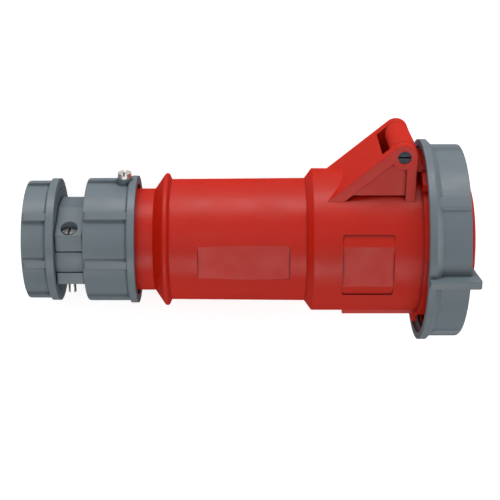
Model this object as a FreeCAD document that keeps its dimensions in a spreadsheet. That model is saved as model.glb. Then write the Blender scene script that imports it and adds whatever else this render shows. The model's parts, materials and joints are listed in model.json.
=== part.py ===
import FreeCAD, Part

import math
import os

import Sketcher

# An industrial cable coupler for five poles and 63 A, lying as it rests on a table.
# It is drawn with its axis along X, from the cable mouth to the lid, and the lid's
# hinge on top. The whole coupler is then rolled about X so that it lies on the locking
# ring's flange and one of the ring's wings, with the hinge to one side.

# Sizes

# Lengths are in millimetres and angles in degrees.
SIZES = {
    # How the coupler lies
    "roll_angle": 66.8,
    # Clearances
    "running_gap": 0.05,
    "sliding_gap": 0.3,
    "fit_gap": 0.1,
    # Cable end: the end nut
    "cable_bore": 18.3,
    "mouth_bore": 19.0,
    "end_nut_length": 19.9,
    "end_nut_radius": 38.3,
    "end_nut_flange": 38.9,
    "end_nut_flange_length": 4.7,
    "panel_depth": 1.8,
    "nut_wall": 3.5,
    "nut_rounding": 2.5,
    "nut_chamfer": 1.3,
    "rib_top": -4.0,
    "rib_upper": 46.0,
    "rib_middle": 91.0,
    "rib_lower": 138.0,
    "rib_width": 5.0,
    "rib_slope": 0.8,
    # Cable end: the clamp carrier and what it holds
    "carrier_tube": 31.9,
    "carrier_bore": 26.0,
    "carrier_shoulder": 3.2,
    "carrier_flange": 34.9,
    "carrier_flange_length": 3.5,
    "bridge_top": 4.4,
    "bridge_bottom": 9.3,
    "bridge_inside": 20.5,
    "washer_length": 1.5,
    "washer_radius": 30.0,
    "seal_length": 11.0,
    "end_seal_slack": 0.2,
    # Cable clamp
    "clamp_space": 17.9,
    "clamp_width": 16.6,
    "clamp_half_span": 31.1,
    "clamp_half_top": 9.0,
    "upper_clamp_low": 4.9,
    "upper_clamp_corner": 15.6,
    "upper_clamp_top": 25.5,
    "lower_clamp_high": 9.5,
    "lower_clamp_corner": 17.2,
    "lower_clamp_base": 26.3,
    "jaw_tooth_depth": 1.3,
    "jaw_tooth_count": 4,
    "clamp_screw_offset": 25.4,
    "clamp_screw_seat": 12.8,
    "clamp_screw_tip": 24.6,
    "screw_radius": 2.4,
    "screw_hole": 2.8,
    "screw_head": 4.25,
    "screw_head_height": 3.5,
    "screw_slot_width": 1.2,
    "screw_slot_depth": 1.5,
    "counterbore": 5.2,
    "nut_seat": 14.0,
    "nut_height": 4.0,
    "nut_across": 4.62,
    # Gland nut
    "gland_nut_length": 31.7,
    "gland_nut_radius": 40.0,
    "gland_nut_flange": 40.6,
    "gland_nut_flange_length": 4.4,
    "gland_nut_thread": 35.3,
    "gland_nut_end_wall": 4.0,
    "gland_nut_hole": 32.3,
    "lock_screw_setback": 7.7,
    "lock_screw_seat": 41.9,
    "lock_screw_boss": 4.6,
    "lock_screw_tip": 35.5,
    # Handle sleeve
    "neck_length": 10.8,
    "neck_radius": 32.4,
    "neck_bore": 28.0,
    "neck_thread": 34.9,
    "neck_thread_length": 17.5,
    "neck_inside": 21.0,
    "bead_rise": 6.7,
    "bead_flat": 2.0,
    "bead_fall": 1.6,
    "bead_rounding": 1.5,
    "bead_radius": 42.2,
    "grip_length": 84.6,
    "grip_start": 38.4,
    "grip_end": 39.1,
    "grip_wall": 3.6,
    "spigot_gap": 1.5,
    "seal_groove_depth": 1.9,
    "seal_groove_length": 3.2,
    "seal_groove_place": 0.7,
    "plate_start": 17.6,
    "grip_plate_length": 56.7,
    "grip_plate_half": 11.4,
    "grip_plate_depth": 2.0,
    "plate_rounding": 1.6,
    # Front housing
    "housing_cone": 4.1,
    "cone_step": 5.6,
    "housing_wall": 3.8,
    "housing_length": 66.5,
    "housing_bore_step": 2.3,
    "socket_depth": 65.5,
    "ledge_length": 3.0,
    "ledge_step": 0.5,
    "socket_bore": 41.5,
    "collar_rise": 3.0,
    "collar_length": 5.7,
    "rim_length": 10.5,
    "lug_rise": 6.7,
    "lug_setback": 0.5,
    "lug_length": 3.6,
    "hinge_lug_angle": 24.6,
    "hinge_lug_half": 5.7,
    "base_lug_angle": 190.6,
    "base_lug_half": 19.6,
    "catch_angle": 40.0,
    "catch_half_angle": 5.0,
    "catch_length": 2.0,
    "catch_setback": 1.2,
    "key_half_width": 11.5,
    "key_rise": 2.1,
    "key_start": 20.4,
    "keyway_half_width": 4.5,
    "keyway_depth": 2.3,
    "housing_plate_start": 17.6,
    "housing_plate_length": 31.3,
    "housing_plate_half": 20.1,
    "housing_plate_flat": 13.2,
    "housing_plate_depth": 2.0,
    "housing_plate_edge": 0.9,
    "housing_plate_rounding": 1.5,
    # Hinge
    "pin_setback": 12.5,
    "pin_rise": 19.3,
    "pin_radius": 3.0,
    "pin_head": 3.9,
    "pin_head_length": 3.0,
    "pin_inset": 0.5,
    "hinge_boss": 7.7,
    "bracket_half_width": 27.2,
    "ear_thickness": 7.7,
    "bracket_slope": 40.0,
    "bracket_plate": 3.2,
    "bracket_window": 12.7,
    "strut_width": 6.7,
    "post_width": 6.0,
    "web_recess": 3.0,
    "web_gap": 3.0,
    "knuckle_side_gap": 0.5,
    # Lid
    "lid_skirt": 2.0,
    "lid_skirt_gap": 0.2,
    "lid_skirt_length": 12.0,
    "lid_plate": 4.0,
    "lid_boss_radius": 37.0,
    "lid_boss_height": 10.0,
    "lid_boss_wall": 3.0,
    "lid_boss_rounding": 1.5,
    "gasket_overlap": 1.6,
    "gasket_groove": 1.0,
    "gasket_stand": 2.2,
    "arm_half_width": 16.0,
    "arm_gap": 3.2,
    "arm_thickness": 3.5,
    "arm_slope": 26.6,
    "arm_heel": 1.9,
    "arm_drop": 6.2,
    "arm_reach": 10.0,
    "spring_wire": 0.6,
    "spring_coil": 4.1,
    "spring_pitch": 1.5,
    "spring_turns": 8.5,
    "spring_slot_half": 8.5,
    "spring_slot_radius": 5.2,
    "spring_hook": 1.6,
    # Locking ring
    "ring_setback": 1.2,
    "ring_length": 25.8,
    "ring_flange_rise": 3.9,
    "ring_flange_length": 4.3,
    "ring_rib_rise": 1.9,
    "ring_wall": 2.2,
    "ring_gap": 0.5,
    "ring_mouth_step": 1.8,
    "ring_mouth_length": 2.0,
    "ring_lip": 8.7,
    "ring_rounding": 3.5,
    "ring_rib_width": 5.9,
    "ring_rib_slope": 1.8,
    "ring_rib_hinge": -4.5,
    "ring_rib_side": 46.0,
    "ring_rib_base": 144.0,
    "wing_reach": 7.2,
    "wing_thickness": 4.6,
    "wing_offset": 1.0,
    "wing_overhang": 5.6,
    "wing_fall": 0.6,
    "wing_rounding": 2.2,
    "wing_front_overhang": 2.3,
    "hook_gap": 1.7,
    "hook_half_angle": 9.7,
    "hook_setback": 1.2,
    "hook_length": 1.8,
    "hook_count": 2,
    # Contacts and their carrier
    "shroud_gap": 7.0,
    "insert_setback": 4.0,
    "insert_base_gap": 0.3,
    "insert_base_length": 6.5,
    "insert_rounding": 1.0,
    "pin_circle": 22.5,
    "pole_radius": 4.0,
    "earth_radius": 5.0,
    "pilot_radius": 3.0,
    "pin_entry": 0.4,
    "sleeve_wall": 1.2,
    "sleeve_cover": 1.5,
    "shoulder_place": 12.5,
    "shoulder_radius": 6.9,
    "shoulder_length": 5.5,
    "terminal_radius": 6.0,
    "terminal_length": 27.0,
    "wire_bore": 3.6,
    "wire_depth": 16.0,
    "backing_gap": 0.4,
    "backing_length": 13.0,
    "terminal_screw_place": 20.0,
    "terminal_screw_radius": 2.2,
    "terminal_screw_tip": 1.5,
    "terminal_screw_length": 8.0,
    "carrier_screw_head": 3.1,
    "carrier_screw_head_height": 2.4,
    "carrier_screw_radius": 1.7,
    "carrier_screw_count": 3,
}


class Size:
    """A number, together with the sheet expression that gives it."""

    def __init__(self, number, text):
        self.number = float(number)
        self.text = text

    def __add__(self, other):
        other = sized(other)
        return Size(self.number + other.number, f"({self.text} + {other.text})")

    def __sub__(self, other):
        other = sized(other)
        return Size(self.number - other.number, f"({self.text} - {other.text})")

    def __mul__(self, other):
        other = sized(other)
        return Size(self.number * other.number, f"({self.text} * {other.text})")

    def __truediv__(self, other):
        other = sized(other)
        return Size(self.number / other.number, f"({self.text} / {other.text})")

    def __neg__(self):
        return Size(-self.number, f"(0 - {self.text})")


def sized(value):
    """A plain number as a size."""
    if isinstance(value, Size):
        return value
    number = float(value)
    if number < 0:
        return Size(number, f"(0 - {-number!r})")
    return Size(number, repr(number))


def sine(angle):
    angle = sized(angle)
    return Size(math.sin(math.radians(angle.number)), f"sin({angle.text})")


def cosine(angle):
    angle = sized(angle)
    return Size(math.cos(math.radians(angle.number)), f"cos({angle.text})")


def tangent(angle):
    angle = sized(angle)
    return Size(math.tan(math.radians(angle.number)), f"tan({angle.text})")


def chord(radius, half):
    """How far from the centre a chord of this half length lies."""
    square = radius * radius - half * half
    return Size(math.sqrt(square.number), f"sqrt({square.text})")


class Sheet:
    """The spreadsheet of driving sizes: each is read as an attribute."""

    def __init__(self, document):
        self.cells = document.addObject("Spreadsheet::Sheet", "Sizes")
        for row, (name, number) in enumerate(SIZES.items(), start=1):
            self.cells.set(f"A{row}", name)
            self.cells.set(f"B{row}", str(number))
            self.cells.setAlias(f"B{row}", name)
        document.recompute()

    def __getattr__(self, name):
        return Size(SIZES[name], f"Sizes.{name}")


doc = FreeCAD.newDocument("CableCoupler")
z = Sheet(doc)

# Stations along the axis, from the cable mouth

END_GAP = z.end_nut_length
GLAND = END_GAP + z.clamp_space
NECK = GLAND + z.gland_nut_length
BEAD = NECK + z.neck_length
GRIP = BEAD + z.bead_rise + z.bead_flat + z.bead_fall
HOUSING = GRIP + z.grip_length
BARREL = HOUSING + z.housing_cone
COLLAR = BARREL + z.housing_length
RIM = COLLAR + z.collar_length
MOUTH = RIM + z.rim_length
PIN = COLLAR - z.pin_setback
CLAMP = END_GAP + z.clamp_space / 2 - z.clamp_width / 2
CLAMP_END = CLAMP + z.clamp_width
SEAT = MOUTH - z.socket_depth
LEDGE = SEAT - z.ledge_length
SPIGOT = LEDGE - z.spigot_gap
FACE = MOUTH - z.insert_setback
RING = COLLAR + z.ring_setback
RING_END = RING + z.ring_length
PLATE = MOUTH + z.sliding_gap + z.gasket_stand
PLATE_END = PLATE + z.lid_plate
EAR_INSIDE = z.bracket_half_width - z.ear_thickness

# Radii that follow from each other, from the socket's bore out to the locking ring

HOUSING_RADIUS = z.socket_bore + z.housing_wall
HOUSING_BORE = z.socket_bore - z.housing_bore_step
SPIGOT_RADIUS = HOUSING_BORE - z.sliding_gap
CONE_START = HOUSING_RADIUS - z.cone_step
KEY_HEIGHT = HOUSING_RADIUS + z.key_rise
KEYWAY_RADIUS = z.socket_bore + z.keyway_depth
GASKET_OUTER = HOUSING_RADIUS + z.gasket_overlap
GASKET_INNER = z.socket_bore - z.gasket_overlap
INSERT_RADIUS = z.socket_bore - z.shroud_gap
CARRIER_SCREW_CIRCLE = INSERT_RADIUS + z.shroud_gap / 2
LEDGE_BORE = INSERT_RADIUS - z.ledge_step
BACKING_RADIUS = LEDGE_BORE - z.backing_gap
PIN_HEIGHT = HOUSING_RADIUS + z.pin_rise
COLLAR_RADIUS = HOUSING_RADIUS + z.collar_rise
LUG_RADIUS = COLLAR_RADIUS + z.lug_rise
LID_RADIUS = LUG_RADIUS + z.lid_skirt_gap + z.lid_skirt
ARM_BOTTOM = COLLAR_RADIUS + z.arm_gap
ARM_TOP = ARM_BOTTOM + z.arm_thickness
RING_BORE = LID_RADIUS + z.ring_gap
RING_MOUTH_BORE = RING_BORE + z.ring_mouth_step
RING_PANEL = RING_BORE + z.ring_wall
RING_RADIUS = RING_PANEL + z.ring_rib_rise
RING_FLANGE = RING_PANEL + z.ring_flange_rise
RING_LIP = LID_RADIUS - z.ring_lip
WING_RADIUS = RING_RADIUS + z.wing_reach


# Drawing tools

def place(piece, turn=0):
    """Rolls a finished piece about the axis into the coupler's resting position."""
    angle = sized(360) - z.roll_angle + turn
    origin = FreeCAD.Vector(0, 0, 0)
    along = FreeCAD.Vector(1, 0, 0)
    piece.Placement = FreeCAD.Placement(origin, FreeCAD.Rotation(along, angle.number))
    piece.setExpression("Placement.Rotation.Angle", angle.text)


def new_body(name):
    body = doc.addObject("PartDesign::Body", name)
    body.Label = name
    place(body)
    return body


def new_sketch(body, name, plane, shift=(0, 0, 0)):
    """A sketch on one of the body's own planes, moved by shift in its own directions."""
    sketch = body.newObject("Sketcher::SketchObject", f"{body.Name}_{name}")
    faces = [face for face in body.Origin.OriginFeatures if face.Role == plane]
    sketch.AttachmentSupport = [(faces[0], "")]
    sketch.MapMode = "FlatFace"
    moves = [sized(value) for value in shift]
    base = FreeCAD.Vector(*[move.number for move in moves])
    sketch.AttachmentOffset = FreeCAD.Placement(base, FreeCAD.Rotation())
    for direction, move in zip("xyz", moves):
        sketch.setExpression(f"AttachmentOffset.Base.{direction}", move.text)
    return sketch


def bind(sketch, kind, arguments, value):
    """Adds one driving constraint and ties it to the sheet."""
    value = sized(value)
    number = math.radians(value.number) if kind == "Angle" else value.number
    index = sketch.addConstraint(Sketcher.Constraint(kind, *arguments, number))
    sketch.setExpression(f"Constraints[{index}]", value.text)


def outline(sketch, corners):
    """Draws one closed outline; a corner's third value is its rounding radius."""
    points = [FreeCAD.Vector(sized(c[0]).number, sized(c[1]).number, 0) for c in corners]
    count = len(corners)
    trims = []
    for index in range(count):
        before = (points[index] - points[index - 1]).normalize()
        after = (points[(index + 1) % count] - points[index]).normalize()
        bend = before.getAngle(after)
        left = before.cross(after).z > 0
        radius = sized(corners[index][2]) if len(corners[index]) > 2 else None
        trim = radius.number * math.tan(bend / 2) if radius else 0
        trims.append((trim, before, after, left, radius))
    lines = []
    for index in range(count):
        start = points[index] + trims[index][2] * trims[index][0]
        following = (index + 1) % count
        end = points[following] - trims[following][1] * trims[following][0]
        lines.append(sketch.addGeometry(Part.LineSegment(start, end)))
    for index in range(count):
        trim, before, after, left, radius = trims[index]
        first = lines[index - 1]
        second = lines[index]
        if radius is None:
            sketch.addConstraint(Sketcher.Constraint("Coincident", first, 2, second, 1))
            corner = (-1, 1, second, 1)
        else:
            side = 1 if left else -1
            across = FreeCAD.Vector(-before.y, before.x, 0) * (side * radius.number)
            centre = points[index] - before * trim + across
            start = points[index] - before * trim - centre
            end = points[index] + after * trim - centre
            if not left:
                start, end = end, start
            circle = Part.Circle(centre, FreeCAD.Vector(0, 0, 1), radius.number)
            opening = math.atan2(start.y, start.x)
            closing = math.atan2(end.y, end.x)
            arc = sketch.addGeometry(Part.ArcOfCircle(circle, opening, closing))
            near, far = (1, 2) if left else (2, 1)
            sketch.addConstraint(Sketcher.Constraint("Tangent", first, 2, arc, near))
            sketch.addConstraint(Sketcher.Constraint("Tangent", arc, far, second, 1))
            bind(sketch, "Radius", (arc,), radius)
            mark = sketch.addGeometry(Part.Point(points[index]), True)
            sketch.addConstraint(Sketcher.Constraint("PointOnObject", mark, 1, first))
            sketch.addConstraint(Sketcher.Constraint("PointOnObject", mark, 1, second))
            corner = (-1, 1, mark, 1)
        bind(sketch, "DistanceX", corner, corners[index][0])
        bind(sketch, "DistanceY", corner, corners[index][1])


def disc(sketch, across, up, radius):
    """Draws one circle."""
    centre = FreeCAD.Vector(sized(across).number, sized(up).number, 0)
    normal = FreeCAD.Vector(0, 0, 1)
    circle = sketch.addGeometry(Part.Circle(centre, normal, sized(radius).number))
    bind(sketch, "DistanceX", (-1, 1, circle, 3), across)
    bind(sketch, "DistanceY", (-1, 1, circle, 3), up)
    bind(sketch, "Radius", (circle,), radius)


def sector(sketch, inner, outer, middle, half):
    """Draws a piece of a ring about the axis; angles run from the hinge."""
    normal = FreeCAD.Vector(0, 0, 1)
    middle = sized(middle) + 90
    opening = middle - half
    closing = middle + half
    arcs = []
    for radius in (inner, outer):
        circle = Part.Circle(FreeCAD.Vector(0, 0, 0), normal, radius.number)
        first = math.radians(opening.number)
        last = math.radians(closing.number)
        arc = sketch.addGeometry(Part.ArcOfCircle(circle, first, last))
        sketch.addConstraint(Sketcher.Constraint("Coincident", arc, 3, -1, 1))
        bind(sketch, "Radius", (arc,), radius)
        arcs.append(arc)
    for end, angle in ((1, opening), (2, closing)):
        way = FreeCAD.Vector(math.cos(math.radians(angle.number)),
                             math.sin(math.radians(angle.number)), 0)
        side = sketch.addGeometry(Part.LineSegment(way * inner.number, way * outer.number))
        sketch.addConstraint(Sketcher.Constraint("Coincident", side, 1, arcs[0], end))
        sketch.addConstraint(Sketcher.Constraint("Coincident", side, 2, arcs[1], end))
        bind(sketch, "DistanceX", (-1, 1, side, 2), outer * cosine(angle))


def revolved(body, name, corners, kind="PartDesign::Revolution", shift=(0, 0, 0)):
    """Turns an outline of (station, radius) corners about the coupler's axis."""
    sketch = new_sketch(body, f"{name}_outline", "XZ_Plane", shift)
    outline(sketch, corners)
    turned = body.newObject(kind, f"{body.Name}_{name}")
    turned.Profile = sketch
    turned.ReferenceAxis = (sketch, ["H_Axis"])
    turned.Angle = 360
    doc.recompute()
    return turned


def bored(body, name, corners, shift=(0, 0, 0)):
    return revolved(body, name, corners, "PartDesign::Groove", shift)


def padded(body, name, sketch, length):
    pad = body.newObject("PartDesign::Pad", f"{body.Name}_{name}")
    pad.Profile = sketch
    pad.setExpression("Length", sized(length).text)
    doc.recompute()
    return pad


def pocketed(body, name, sketch, length):
    """Cuts from the sketch's plane against its normal."""
    pocket = body.newObject("PartDesign::Pocket", f"{body.Name}_{name}")
    pocket.Profile = sketch
    pocket.setExpression("Length", sized(length).text)
    doc.recompute()
    return pocket


def spread(body, name, feature, count):
    """Repeats a feature evenly about the coupler's axis."""
    axes = [axis for axis in body.Origin.OriginFeatures if axis.Role == "X_Axis"]
    pattern = body.newObject("PartDesign::PolarPattern", f"{body.Name}_{name}")
    pattern.Originals = [feature]
    pattern.Axis = (axes[0], [""])
    pattern.Angle = 360
    pattern.setExpression("Occurrences", sized(count).text)
    body.Tip = pattern
    doc.recompute()
    return pattern


def block(body, name, plane, shift, corners, length, cut=False):
    """Pads or cuts one outline drawn on a moved plane."""
    sketch = new_sketch(body, f"{name}_outline", plane, shift)
    outline(sketch, corners)
    make = pocketed if cut else padded
    return make(body, name, sketch, length)


def rectangle(left, low, right, high):
    return [(left, low), (right, low), (right, high), (left, high)]


def rib(body, name, start, length, low, high, width, slope, angle):
    """One raised rib along the axis, with sloped sides, at an angle from the hinge."""
    out_y = -sine(angle)
    out_z = cosine(angle)
    wide = width / 2 + slope
    narrow = width / 2
    corners = []
    for reach, half in ((low, -wide), (low, wide), (high, narrow), (high, -narrow)):
        half = sized(half)
        corners.append((out_y * reach + out_z * half, out_z * reach - out_y * half))
    return block(body, name, "YZ_Plane", (0, 0, start), corners, length)


def primitive(kind, name, sizes, base, turn=0):
    """A simple solid standing on its base point, turned about X."""
    solid = doc.addObject(kind, name)
    for prop, value in sizes.items():
        solid.setExpression(prop, sized(value).text)
    moves = [sized(value) for value in base]
    origin = FreeCAD.Vector(*[move.number for move in moves])
    rotation = FreeCAD.Rotation(FreeCAD.Vector(1, 0, 0), turn)
    solid.Placement = FreeCAD.Placement(origin, rotation)
    for direction, move in zip("xyz", moves):
        solid.setExpression(f"Placement.Base.{direction}", move.text)
    return solid


def slotted_screw(name, head, height, shank, length, across, seat):
    """A cheese-head screw that points down, with its head on the seat."""
    x, y = across
    top = primitive("Part::Cylinder", f"{name}_head",
                    {"Radius": head, "Height": height}, (x, y, seat))
    stem = primitive("Part::Cylinder", f"{name}_shank",
                     {"Radius": shank, "Height": length}, (x, y, seat - length))
    whole = doc.addObject("Part::Fuse", f"{name}_whole")
    whole.Base = top
    whole.Tool = stem
    width = z.screw_slot_width
    depth = z.screw_slot_depth
    reach = head + z.sliding_gap
    groove = primitive("Part::Box", f"{name}_slot",
                       {"Length": width, "Width": reach * 2, "Height": depth},
                       (x - width / 2, sized(y) - reach, seat + height - depth))
    screw = doc.addObject("Part::Cut", name)
    screw.Base = whole
    screw.Tool = groove
    return screw


def group(name, pieces):
    """Several like pieces kept as one sub-part."""
    compound = doc.addObject("Part::Compound", name)
    compound.Links = pieces
    compound.Label = name
    place(compound)
    return compound


# Cable end

def make_nut(name, start, length, body_radius, flange, flange_length, hole, thread,
             end_wall):
    """A ribbed hand nut, with its flange at the far end."""
    body = new_body(name)
    end = start + length
    panel = body_radius - z.panel_depth
    lip = end - flange_length
    revolved(body, "shell", [
        (start, hole),
        (start, panel),
        (lip - z.nut_chamfer, panel),
        (lip, flange),
        (end, flange),
        (end, thread),
        (start + end_wall, thread),
        (start + end_wall, hole),
    ])
    inside = thread + z.fit_gap
    reach = length - flange_length + z.nut_chamfer
    for place_name, angle in (("top", z.rib_top), ("upper", z.rib_upper),
                              ("middle", z.rib_middle), ("lower", z.rib_lower)):
        for half, turn in (("near", 0), ("far", 180)):
            rib(body, f"rib_{place_name}_{half}", start, reach, inside, body_radius,
                z.rib_width, z.rib_slope, angle + turn)
    corner = body_radius + z.panel_depth
    before = start - z.sliding_gap
    low = body_radius - z.nut_rounding - z.fit_gap
    reach = start + z.nut_rounding + z.fit_gap
    bored(body, "rounding", [
        (start, low),
        (start, body_radius, z.nut_rounding),
        (reach, body_radius),
        (reach, corner),
        (before, corner),
        (before, low),
    ])
    return body


def make_end_nut():
    thread = z.carrier_tube + z.sliding_gap
    make_nut("end_nut", sized(0), z.end_nut_length, z.end_nut_radius, z.end_nut_flange,
             z.end_nut_flange_length, z.mouth_bore, thread, z.nut_wall)


def make_gland_nut():
    thread = z.gland_nut_thread
    body = make_nut("gland_nut", GLAND, z.gland_nut_length, z.gland_nut_radius,
                    z.gland_nut_flange, z.gland_nut_flange_length, z.gland_nut_hole,
                    thread, z.gland_nut_end_wall)
    station = NECK - z.lock_screw_setback
    seat = z.lock_screw_seat
    inside = thread + z.panel_depth
    boss = new_sketch(body, "boss_outline", "XY_Plane", (0, 0, inside))
    disc(boss, station, 0, z.lock_screw_boss)
    padded(body, "boss", boss, seat - inside)
    hole = new_sketch(body, "hole_outline", "XY_Plane", (0, 0, seat + z.sliding_gap))
    disc(hole, station, 0, z.screw_radius + z.fit_gap)
    pocketed(body, "hole", hole, seat - thread + z.nut_wall)


def make_lock_screw():
    length = z.lock_screw_seat - z.lock_screw_tip
    screw = slotted_screw("nut_lock_screw", z.screw_head, z.screw_head_height,
                          z.screw_radius, length, (NECK - z.lock_screw_setback, 0),
                          z.lock_screw_seat)
    screw.Label = "nut_lock_screw"
    place(screw)


WASHER = z.nut_wall + z.sliding_gap
CARRIER = WASHER + z.washer_length + z.sliding_gap
SHOULDER = CARRIER + z.seal_length + z.end_seal_slack


def make_end_washer():
    body = new_body("end_washer")
    end = WASHER + z.washer_length
    hole = z.mouth_bore + z.sliding_gap
    revolved(body, "ring", [
        (WASHER, hole),
        (WASHER, z.washer_radius),
        (end, z.washer_radius),
        (end, hole),
    ])


def make_end_seal():
    body = new_body("end_seal")
    outer = z.carrier_bore - z.fit_gap
    end = CARRIER + z.seal_length
    revolved(body, "ring", [
        (CARRIER, z.cable_bore),
        (CARRIER, outer),
        (end, outer),
        (end, z.cable_bore),
    ])


def make_clamp_carrier():
    body = new_body("clamp_carrier")
    passage = z.mouth_bore + z.sliding_gap
    front = CLAMP - z.sliding_gap
    rear = CLAMP_END + z.sliding_gap
    flange = GLAND + z.gland_nut_end_wall + z.sliding_gap
    flange_end = flange + z.carrier_flange_length
    tube = z.carrier_tube
    # The two bridges beside the cable join the front tube to the flange
    for side, sign in (("near", -1), ("far", 1)):
        inner = z.bridge_inside * sign
        outer = tube * sign
        edge = (inner, outer) if sign > 0 else (outer, inner)
        corners = rectangle(edge[0], -z.bridge_bottom, edge[1], z.bridge_top)
        length = rear - front + z.carrier_shoulder
        start = front - z.carrier_shoulder / 2
        block(body, f"bridge_{side}", "YZ_Plane", (0, 0, start), corners, length)
        if side == "near":
            revolved(body, "front_tube", [
                (CARRIER, z.carrier_bore),
                (CARRIER, tube),
                (front, tube),
                (front, passage),
                (SHOULDER, passage),
                (SHOULDER, z.carrier_bore),
            ])
            revolved(body, "rear_flange", [
                (rear, passage),
                (rear, tube),
                (flange, tube),
                (flange, z.carrier_flange),
                (flange_end, z.carrier_flange),
                (flange_end, passage),
            ])
    wide = tube + z.nut_wall
    bored(body, "bridge_round", [
        (start, tube),
        (start + length, tube),
        (start + length, wide),
        (start, wide),
    ])
    for side, sign in (("near", -1), ("far", 1)):
        top = z.bridge_top + z.sliding_gap
        hole = new_sketch(body, f"hole_{side}", "XY_Plane", (0, 0, top))
        middle = CLAMP + z.clamp_width / 2
        disc(hole, middle, z.clamp_screw_offset * sign, z.screw_hole)
        depth = z.bridge_top + z.bridge_bottom + z.sliding_gap * 2
        pocketed(body, f"screw_hole_{side}", hole, depth)


def jaw(body):
    """The toothed round seat that grips the cable."""
    count = SIZES["jaw_tooth_count"]
    pitch = z.clamp_width / z.jaw_tooth_count
    tip = z.cable_bore
    root = tip + z.jaw_tooth_depth
    before = CLAMP - z.sliding_gap
    after = CLAMP_END + z.sliding_gap
    corners = [(before, 0), (before, root)]
    for tooth in range(count):
        start = CLAMP + pitch * tooth
        corners.append((start + z.fit_gap, root))
        corners.append((start + pitch / 2, tip))
    corners.append((after, root))
    corners.append((after, 0))
    bored(body, "jaw", corners)


def make_upper_clamp():
    body = new_body("upper_clamp")
    span = z.clamp_half_span
    flat = z.clamp_half_top
    block(body, "block", "YZ_Plane", (0, 0, CLAMP), [
        (-span, z.upper_clamp_low),
        (span, z.upper_clamp_low),
        (span, z.upper_clamp_corner),
        (flat, z.upper_clamp_top),
        (-flat, z.upper_clamp_top),
        (-span, z.upper_clamp_corner),
    ], z.clamp_width)
    jaw(body)
    middle = CLAMP + z.clamp_width / 2
    for side, sign in (("near", -1), ("far", 1)):
        across = z.clamp_screw_offset * sign
        seat = new_sketch(body, f"seat_{side}", "XY_Plane", (0, 0, z.upper_clamp_top))
        disc(seat, middle, across, z.counterbore)
        pocketed(body, f"counterbore_{side}", seat, z.upper_clamp_top - z.clamp_screw_seat)
        hole = new_sketch(body, f"hole_{side}", "XY_Plane", (0, 0, z.upper_clamp_top))
        disc(hole, middle, across, z.screw_hole)
        pocketed(body, f"screw_hole_{side}", hole, z.upper_clamp_top)


def make_lower_clamp():
    body = new_body("lower_clamp")
    span = z.clamp_half_span
    flat = z.clamp_half_top
    block(body, "block", "YZ_Plane", (0, 0, CLAMP), [
        (-span, -z.lower_clamp_high),
        (-span, -z.lower_clamp_corner),
        (-flat, -z.lower_clamp_base),
        (flat, -z.lower_clamp_base),
        (span, -z.lower_clamp_corner),
        (span, -z.lower_clamp_high),
    ], z.clamp_width)
    jaw(body)
    middle = CLAMP + z.clamp_width / 2
    for side, sign in (("near", -1), ("far", 1)):
        across = z.clamp_screw_offset * sign
        hole = new_sketch(body, f"hole_{side}", "XY_Plane", (0, 0, 0))
        disc(hole, middle, across, z.screw_hole)
        pocketed(body, f"screw_hole_{side}", hole, z.lower_clamp_base)
        reach = z.nut_across + z.fit_gap
        corners = []
        for corner in range(6):
            angle = 60 * corner
            corners.append((middle + cosine(angle) * reach, across + sine(angle) * reach))
        block(body, f"nut_pocket_{side}", "XY_Plane", (0, 0, -z.nut_seat), corners,
              z.lower_clamp_base - z.nut_seat + z.sliding_gap, cut=True)


def make_clamp_screws():
    middle = CLAMP + z.clamp_width / 2
    length = z.clamp_screw_seat + z.clamp_screw_tip
    screws = []
    for side, sign in (("near", -1), ("far", 1)):
        across = (middle, z.clamp_screw_offset * sign)
        screws.append(slotted_screw(f"clamp_screw_{side}", z.screw_head,
                                    z.screw_head_height, z.screw_radius, length,
                                    across, z.clamp_screw_seat))
    group("clamp_screws", screws)


def make_clamp_nuts():
    middle = CLAMP + z.clamp_width / 2
    nuts = []
    for side, sign in (("near", -1), ("far", 1)):
        across = z.clamp_screw_offset * sign
        base = (middle, across, -z.nut_seat - z.nut_height)
        hexagon = primitive("Part::Prism", f"clamp_nut_{side}_hexagon",
                            {"Circumradius": z.nut_across, "Height": z.nut_height}, base)
        hexagon.Polygon = 6
        hole = primitive("Part::Cylinder", f"clamp_nut_{side}_hole",
                         {"Radius": z.screw_radius + z.fit_gap,
                          "Height": z.nut_height}, base)
        nut = doc.addObject("Part::Cut", f"clamp_nut_{side}")
        nut.Base = hexagon
        nut.Tool = hole
        nuts.append(nut)
    group("clamp_nuts", nuts)


def make_cable_grommet():
    body = new_body("cable_grommet")
    start = GLAND + z.gland_nut_end_wall + z.sliding_gap + z.carrier_flange_length
    start = start + z.sliding_gap
    neck_end = NECK - z.neck_inside
    outer = z.neck_bore + z.nut_wall
    plug = z.neck_bore - z.sliding_gap
    end = neck_end + z.seal_length
    taper = z.panel_depth
    revolved(body, "plug", [
        (start, z.cable_bore),
        (start, outer),
        (neck_end - z.sliding_gap, outer),
        (neck_end - z.sliding_gap, plug),
        (end, plug - taper),
        (end, z.cable_bore),
    ])


# Handle

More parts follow.
